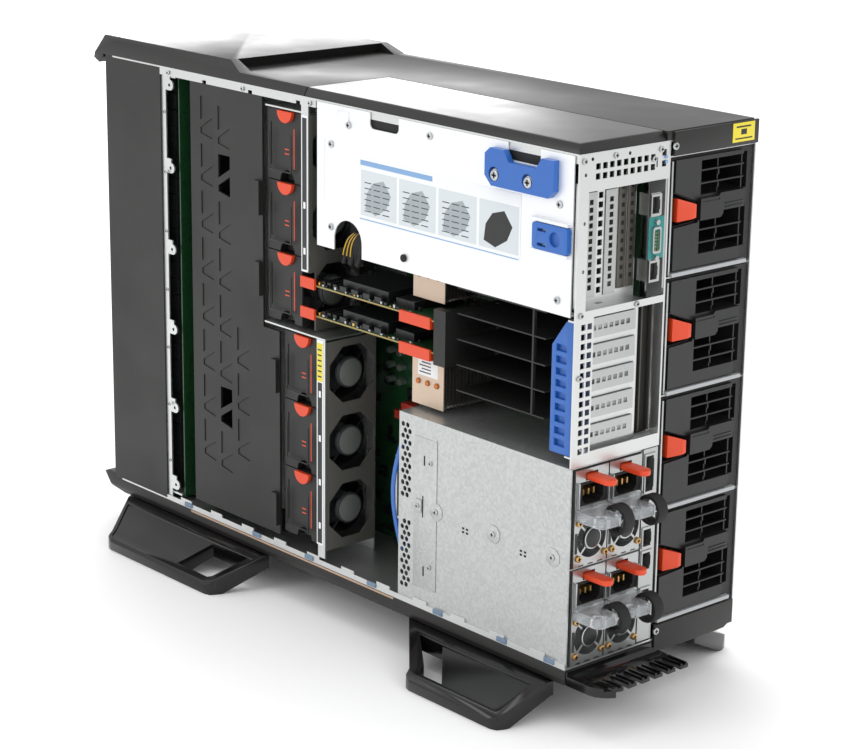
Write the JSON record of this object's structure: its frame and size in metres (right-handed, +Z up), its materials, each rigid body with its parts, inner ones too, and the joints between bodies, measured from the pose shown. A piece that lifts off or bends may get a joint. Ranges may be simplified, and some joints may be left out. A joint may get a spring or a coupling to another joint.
{
  "type": "blade server chassis",
  "caption": "Deskside modular server chassis with its side open: fans, air shroud, cards, power supplies and rear blowers on swivel feet",
  "frame": {"origin": "on the floor, centred under the overall footprint with the feet open and the cable tray fitted", "axes": "+X from the drive face to the rear panel, +Y from the open service side to the far side, +Z up"},
  "size_m": [0.723, 0.288, 0.5],
  "materials": {
    "zinc_sheet": "bright zinc-plated sheet steel, lightly brushed",
    "galvanised_sheet": "hot-dip galvanised sheet with fine spangle",
    "white_sheet": "bright satin zinc sheet",
    "nickel_steel": "nickel-plated steel",
    "charcoal_plastic": "charcoal moulded polycarbonate, fine grain",
    "black_plastic": "black moulded plastic, semi-gloss",
    "carrier_grey": "dark grey drive carriers",
    "server_grey": "dark grey painted steel",
    "board_green": "green solder-masked circuit board",
    "aluminium_fins": "thin aluminium fins on copper heat pipes",
    "rotor_grey": "grey glass-filled nylon",
    "release_orange": "orange-red release plastic",
    "touch_blue": "blue touch-point plastic",
    "button_silver": "silver button"
  },
  "bodies": {
    "chassis": {"chassis_floor": "zinc_sheet", "chassis_roof": "zinc_sheet", "chassis_side": "zinc_sheet", "mid_wall": "zinc_sheet", "front_frame": "charcoal_plastic", "base_skirt": "black_plastic", "top_cover_front": "charcoal_plastic", "top_cover_rear": "charcoal_plastic", "cable_tray": "black_plastic", "rear_panel": "zinc_sheet", "slot_covers": "nickel_steel", "rear_io": "nickel_steel", "circuit_boards": "board_green", "fan_cage": "zinc_sheet", "psu_cage": "galvanised_sheet", "drive_cage": "zinc_sheet", "drive_carriers": "carrier_grey", "heat_sinks": "aluminium_fins", "card_guide": "black_plastic"},
    "foot_front_near": {"foot_front_near": "black_plastic"},
    "foot_front_far": {"foot_front_far": "black_plastic"},
    "foot_rear_near": {"foot_rear_near": "black_plastic"},
    "foot_rear_far": {"foot_rear_far": "black_plastic"},
    "psu_1": {"psu_1": "nickel_steel"},
    "psu_latch_1": {"psu_latch_1": "release_orange"},
    "psu_2": {"psu_2": "nickel_steel"},
    "psu_latch_2": {"psu_latch_2": "release_orange"},
    "psu_3": {"psu_3": "nickel_steel"},
    "psu_latch_3": {"psu_latch_3": "release_orange"},
    "psu_4": {"psu_4": "nickel_steel"},
    "psu_latch_4": {"psu_latch_4": "release_orange"},
    "blower_1": {"blower_1": "charcoal_plastic"},
    "blower_latch_1": {"blower_latch_1": "release_orange"},
    "blower_2": {"blower_2": "charcoal_plastic"},
    "blower_latch_2": {"blower_latch_2": "release_orange"},
    "blower_3": {"blower_3": "charcoal_plastic"},
    "blower_latch_3": {"blower_latch_3": "release_orange"},
    "blower_4": {"blower_4": "charcoal_plastic"},
    "blower_latch_4": {"blower_latch_4": "release_orange"},
    "fan_1": {"fan_1": "charcoal_plastic"},
    "fan_rotor_1": {"fan_rotor_1": "rotor_grey"},
    "fan_2": {"fan_2": "charcoal_plastic"},
    "fan_rotor_2": {"fan_rotor_2": "rotor_grey"},
    "fan_3": {"fan_3": "charcoal_plastic"},
    "fan_rotor_3": {"fan_rotor_3": "rotor_grey"},
    "fan_4": {"fan_4": "charcoal_plastic"},
    "fan_rotor_4": {"fan_rotor_4": "rotor_grey"},
    "fan_5": {"fan_5": "charcoal_plastic"},
    "fan_rotor_5": {"fan_rotor_5": "rotor_grey"},
    "fan_6": {"fan_6": "charcoal_plastic"},
    "fan_rotor_6": {"fan_rotor_6": "rotor_grey"},
    "server_1": {"server_1": "server_grey"},
    "server_2": {"server_2": "server_grey"},
    "air_shroud": {"air_shroud": "charcoal_plastic"},
    "card_cover": {"card_cover": "white_sheet"},
    "cover_latch": {"cover_latch": "touch_blue"},
    "raid_card_1": {"raid_card_1": "board_green"},
    "raid_card_2": {"raid_card_2": "board_green"},
    "card_clip": {"card_clip": "touch_blue"},
    "power_button": {"power_button": "button_silver"}
  },
  "joints": [
    {"name": "foot_front_near_swivel", "type": "hinge", "parent": "chassis", "child": "foot_front_near", "pos_m": [-0.2105, -0.078, 0.028], "axis": [0, 0, 1], "range_deg": [0, 180]},
    {"name": "foot_front_far_swivel", "type": "hinge", "parent": "chassis", "child": "foot_front_far", "pos_m": [-0.2105, 0.078, 0.028], "axis": [0, 0, -1], "range_deg": [0, 180]},
    {"name": "foot_rear_near_swivel", "type": "hinge", "parent": "chassis", "child": "foot_rear_near", "pos_m": [0.2165, -0.078, 0.028], "axis": [0, 0, 1], "range_deg": [0, 180]},
    {"name": "foot_rear_far_swivel", "type": "hinge", "parent": "chassis", "child": "foot_rear_far", "pos_m": [0.2165, 0.078, 0.028], "axis": [0, 0, -1], "range_deg": [0, 180]},
    {"name": "psu_1_slide", "type": "slide", "parent": "chassis", "child": "psu_1", "axis": [1, 0, 0], "range_m": [0, 0.17]},
    {"name": "psu_latch_1_press", "type": "hinge", "parent": "psu_1", "child": "psu_latch_1", "pos_m": [0.3085, -0.066, 0.2146], "axis": [0, -1, 0], "range_deg": [0, 8], "stiffness_Nm_per_rad": 0.4},
    {"name": "psu_2_slide", "type": "slide", "parent": "chassis", "child": "psu_2", "axis": [1, 0, 0], "range_m": [0, 0.17]},
    {"name": "psu_latch_2_press", "type": "hinge", "parent": "psu_2", "child": "psu_latch_2", "pos_m": [0.3085, -0.0266, 0.2146], "axis": [0, -1, 0], "range_deg": [0, 8], "stiffness_Nm_per_rad": 0.4},
    {"name": "psu_3_slide", "type": "slide", "parent": "chassis", "child": "psu_3", "axis": [1, 0, 0], "range_m": [0, 0.17]},
    {"name": "psu_latch_3_press", "type": "hinge", "parent": "psu_3", "child": "psu_latch_3", "pos_m": [0.3085, -0.066, 0.128], "axis": [0, -1, 0], "range_deg": [0, 8], "stiffness_Nm_per_rad": 0.4},
    {"name": "psu_4_slide", "type": "slide", "parent": "chassis", "child": "psu_4", "axis": [1, 0, 0], "range_m": [0, 0.17]},
    {"name": "psu_latch_4_press", "type": "hinge", "parent": "psu_4", "child": "psu_latch_4", "pos_m": [0.3085, -0.0266, 0.128], "axis": [0, -1, 0], "range_deg": [0, 8], "stiffness_Nm_per_rad": 0.4},
    {"name": "blower_1_slide", "type": "slide", "parent": "chassis", "child": "blower_1", "axis": [1, 0, 0], "range_m": [0, 0.115]},
    {"name": "blower_latch_1_press", "type": "slide", "parent": "blower_1", "child": "blower_latch_1", "axis": [0, 1, 0], "range_m": [0, 0.003], "stiffness_N_per_m": 300},
    {"name": "blower_2_slide", "type": "slide", "parent": "chassis", "child": "blower_2", "axis": [1, 0, 0], "range_m": [0, 0.115]},
    {"name": "blower_latch_2_press", "type": "slide", "parent": "blower_2", "child": "blower_latch_2", "axis": [0, 1, 0], "range_m": [0, 0.003], "stiffness_N_per_m": 300},
    {"name": "blower_3_slide", "type": "slide", "parent": "chassis", "child": "blower_3", "axis": [1, 0, 0], "range_m": [0, 0.115]},
    {"name": "blower_latch_3_press", "type": "slide", "parent": "blower_3", "child": "blower_latch_3", "axis": [0, 1, 0], "range_m": [0, 0.003], "stiffness_N_per_m": 300},
    {"name": "blower_4_slide", "type": "slide", "parent": "chassis", "child": "blower_4", "axis": [1, 0, 0], "range_m": [0, 0.115]},
    {"name": "blower_latch_4_press", "type": "slide", "parent": "blower_4", "child": "blower_latch_4", "axis": [0, 1, 0], "range_m": [0, 0.003], "stiffness_N_per_m": 300},
    {"name": "fan_1_slide", "type": "slide", "parent": "chassis", "child": "fan_1", "axis": [0, -1, 0], "range_m": [0, 0.07]},
    {"name": "fan_rotor_1_spin", "type": "hinge", "parent": "fan_1", "child": "fan_rotor_1", "pos_m": [-0.0455, -0.059, 0.0992], "axis": [1, 0, 0], "continuous": true},
    {"name": "fan_2_slide", "type": "slide", "parent": "chassis", "child": "fan_2", "axis": [0, -1, 0], "range_m": [0, 0.07]},
    {"name": "fan_rotor_2_spin", "type": "hinge", "parent": "fan_2", "child": "fan_rotor_2", "pos_m": [-0.0455, -0.059, 0.1646], "axis": [1, 0, 0], "continuous": true},
    {"name": "fan_3_slide", "type": "slide", "parent": "chassis", "child": "fan_3", "axis": [0, -1, 0], "range_m": [0, 0.07]},
    {"name": "fan_rotor_3_spin", "type": "hinge", "parent": "fan_3", "child": "fan_rotor_3", "pos_m": [-0.0455, -0.059, 0.23], "axis": [1, 0, 0], "continuous": true},
    {"name": "fan_4_slide", "type": "slide", "parent": "chassis", "child": "fan_4", "axis": [0, -1, 0], "range_m": [0, 0.07]},
    {"name": "fan_rotor_4_spin", "type": "hinge", "parent": "fan_4", "child": "fan_rotor_4", "pos_m": [-0.0695, -0.059, 0.3024], "axis": [1, 0, 0], "continuous": true},
    {"name": "fan_5_slide", "type": "slide", "parent": "chassis", "child": "fan_5", "axis": [0, -1, 0], "range_m": [0, 0.07]},
    {"name": "fan_rotor_5_spin", "type": "hinge", "parent": "fan_5", "child": "fan_rotor_5", "pos_m": [-0.0695, -0.059, 0.3678], "axis": [1, 0, 0], "continuous": true},
    {"name": "fan_6_slide", "type": "slide", "parent": "chassis", "child": "fan_6", "axis": [0, -1, 0], "range_m": [0, 0.07]},
    {"name": "fan_rotor_6_spin", "type": "hinge", "parent": "fan_6", "child": "fan_rotor_6", "pos_m": [-0.0695, -0.059, 0.4332], "axis": [1, 0, 0], "continuous": true},
    {"name": "server_1_slide", "type": "slide", "parent": "chassis", "child": "server_1", "axis": [-1, 0, 0], "range_m": [0, 0.4]},
    {"name": "server_2_slide", "type": "slide", "parent": "chassis", "child": "server_2", "axis": [-1, 0, 0], "range_m": [0, 0.4]},
    {"name": "air_shroud_slide", "type": "slide", "parent": "chassis", "child": "air_shroud", "axis": [0, -1, 0], "range_m": [0, 0.06]},
    {"name": "card_cover_slide", "type": "slide", "parent": "chassis", "child": "card_cover", "axis": [0, -1, 0], "range_m": [0, 0.12]},
    {"name": "cover_latch_slide", "type": "slide", "parent": "card_cover", "child": "cover_latch", "axis": [-1, 0, 0], "range_m": [0, 0.003], "stiffness_N_per_m": 150},
    {"name": "raid_card_1_slide", "type": "slide", "parent": "chassis", "child": "raid_card_1", "axis": [0, -1, 0], "range_m": [0, 0.1]},
    {"name": "raid_card_2_slide", "type": "slide", "parent": "chassis", "child": "raid_card_2", "axis": [0, -1, 0], "range_m": [0, 0.1]},
    {"name": "card_clip_swing", "type": "hinge", "parent": "chassis", "child": "card_clip", "pos_m": [0.3065, -0.083, 0.289], "axis": [0, 0, 1], "range_deg": [0, 90]},
    {"name": "power_button_press", "type": "slide", "parent": "chassis", "child": "power_button", "axis": [1, 0, 0], "range_m": [0, 0.0015], "stiffness_N_per_m": 200}
  ]
}
